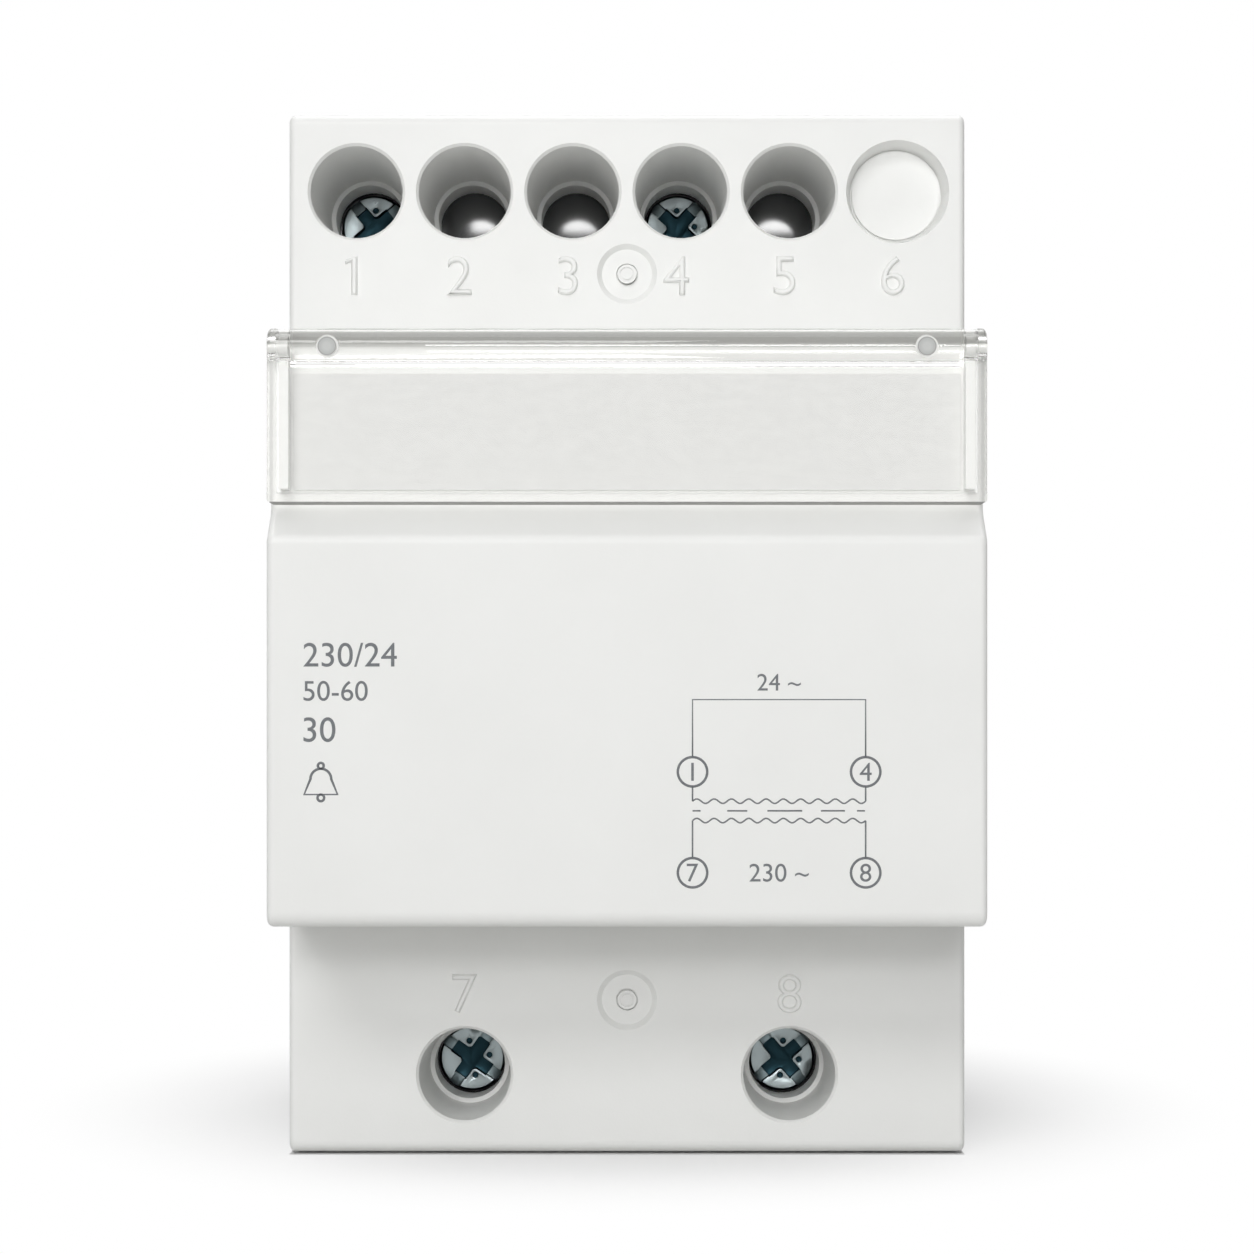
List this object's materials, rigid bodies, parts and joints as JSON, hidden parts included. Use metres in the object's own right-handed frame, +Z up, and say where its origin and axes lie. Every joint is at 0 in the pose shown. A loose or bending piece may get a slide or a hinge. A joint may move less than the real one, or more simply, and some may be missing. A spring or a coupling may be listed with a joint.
{
  "type": "din rail transformer",
  "caption": "Modular transformer for a 35 mm rail, stepped white housing with screw terminals, clear hinged label cover and sliding rail clip.",
  "frame": {"origin": "middle of the rail seat: mid-width, on the rail's centre line, in the plane of the rail's front", "axes": "+Y towards the wall, +Z up, +X to the right as the user sees the front"},
  "size_m": [0.054, 0.0655, 0.083],
  "materials": {
    "white_moulding": "fine satin moulding, warm white",
    "clip_plastic": "satin dark grey nylon",
    "clear_plastic": "clear polished polycarbonate",
    "label_paper": "blank light paper",
    "dark_plastic": "glossy black moulding",
    "core_steel": "varnished electrical steel laminations",
    "bobbin_plastic": "natural nylon",
    "copper_wire": "enamelled copper wire",
    "winding_tape": "yellow polyester tape",
    "cutout_plastic": "pale glossy plastic",
    "screw_steel": "blue-passivated zinc plate",
    "cage_steel": "yellow-passivated zinc plate",
    "contact_brass": "rolled brass strip",
    "lead_insulation": "smooth black wire insulation"
  },
  "bodies": {
    "housing": {"front_cover": "white_moulding", "rear_base": "white_moulding", "label_strip": "label_paper", "upper_terminal_block": "dark_plastic", "lower_terminal_block": "dark_plastic", "core_e_stack": "core_steel", "core_i_stack": "core_steel", "bobbin": "bobbin_plastic", "primary_winding": "copper_wire", "secondary_winding": "copper_wire", "primary_tape": "winding_tape", "secondary_tape": "winding_tape", "thermal_cutout": "cutout_plastic", "contact_tongue_1": "contact_brass", "contact_tongue_4": "contact_brass", "contact_tongue_7": "contact_brass", "contact_tongue_8": "contact_brass", "lead_1": "lead_insulation", "lead_4": "lead_insulation", "lead_7": "lead_insulation", "lead_8": "lead_insulation"},
    "window": {"label_window": "clear_plastic"},
    "clip": {"rail_clip": "clip_plastic"},
    "screw_1": {"terminal_screw_1": "screw_steel"},
    "cage_1": {"clamp_cage_1": "cage_steel"},
    "screw_4": {"terminal_screw_4": "screw_steel"},
    "cage_4": {"clamp_cage_4": "cage_steel"},
    "screw_7": {"terminal_screw_7": "screw_steel"},
    "cage_7": {"clamp_cage_7": "cage_steel"},
    "screw_8": {"terminal_screw_8": "screw_steel"},
    "cage_8": {"clamp_cage_8": "cage_steel"}
  },
  "joints": [
    {"name": "window_hinge", "type": "hinge", "parent": "housing", "child": "window", "pos_m": [0, -0.0585, 0.021], "axis": [-1, 0, 0], "range_deg": [0, 90]},
    {"name": "clip_slide", "type": "slide", "parent": "housing", "child": "clip", "axis": [0, 0, -1], "range_m": [0, 0.004]},
    {"name": "screw_1_turn", "type": "hinge", "parent": "housing", "child": "screw_1", "pos_m": [-0.02162, -0.0259, 0.03527], "axis": [0, 1, 0], "range_deg": [0, 2700]},
    {"name": "cage_1_rise", "type": "slide", "parent": "housing", "child": "cage_1", "axis": [0, -1, 0], "range_m": [0, 0.0045]},
    {"name": "screw_4_turn", "type": "hinge", "parent": "housing", "child": "screw_4", "pos_m": [0.00432, -0.0259, 0.03527], "axis": [0, 1, 0], "range_deg": [0, 2700]},
    {"name": "cage_4_rise", "type": "slide", "parent": "housing", "child": "cage_4", "axis": [0, -1, 0], "range_m": [0, 0.0045]},
    {"name": "screw_7_turn", "type": "hinge", "parent": "housing", "child": "screw_7", "pos_m": [-0.01298, -0.0312, -0.03527], "axis": [0, 1, 0], "range_deg": [0, 2700]},
    {"name": "cage_7_rise", "type": "slide", "parent": "housing", "child": "cage_7", "axis": [0, -1, 0], "range_m": [0, 0.0045]},
    {"name": "screw_8_turn", "type": "hinge", "parent": "housing", "child": "screw_8", "pos_m": [0.01298, -0.0312, -0.03527], "axis": [0, 1, 0], "range_deg": [0, 2700]},
    {"name": "cage_8_rise", "type": "slide", "parent": "housing", "child": "cage_8", "axis": [0, -1, 0], "range_m": [0, 0.0045]}
  ],
  "couplings": [
    {"joint": "screw_1_turn", "follows": "cage_1_rise", "rad_per_m": 10472},
    {"joint": "screw_4_turn", "follows": "cage_4_rise", "rad_per_m": 10472},
    {"joint": "screw_7_turn", "follows": "cage_7_rise", "rad_per_m": 10472},
    {"joint": "screw_8_turn", "follows": "cage_8_rise", "rad_per_m": 10472}
  ]
}
